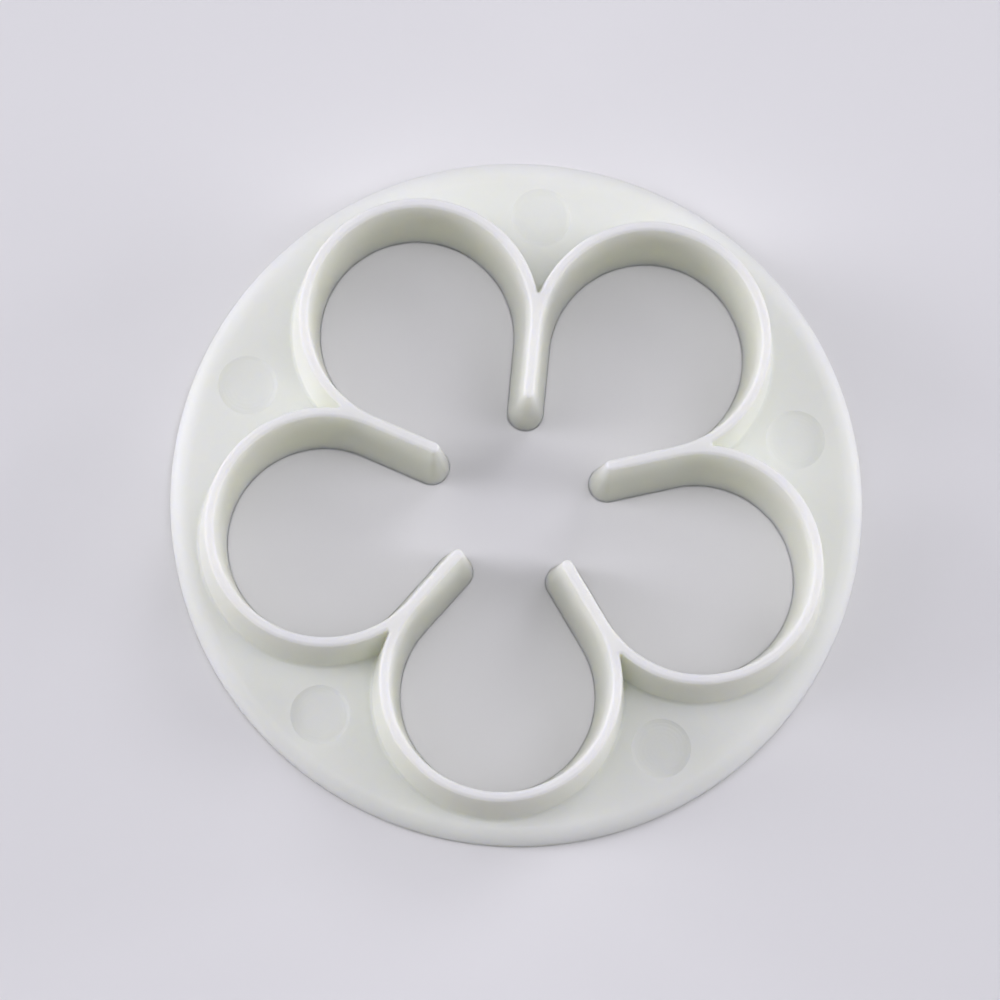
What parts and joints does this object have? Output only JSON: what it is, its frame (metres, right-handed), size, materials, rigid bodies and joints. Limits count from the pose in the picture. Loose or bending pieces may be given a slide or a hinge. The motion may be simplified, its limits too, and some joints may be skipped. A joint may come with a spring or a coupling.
{
  "type": "flower cutter",
  "caption": "Flower-shaped press cutter for pastry and sugar paste, moulded in plastic: a round finger flange with a thin drafted wall along the petals and rounded webs between them.",
  "frame": {"origin": "middle of the flange's flat back, on the cutter's axis", "axes": "+Z along the cutter's axis, from the flat back to the cutting edge; one petal points along -Y"},
  "size_m": [0.0734, 0.0734, 0.0119],
  "materials": {
    "white_plastic": "satin, slightly translucent"
  },
  "bodies": {
    "root": {"flower_cutter": "white_plastic"}
  },
  "joints": []
}
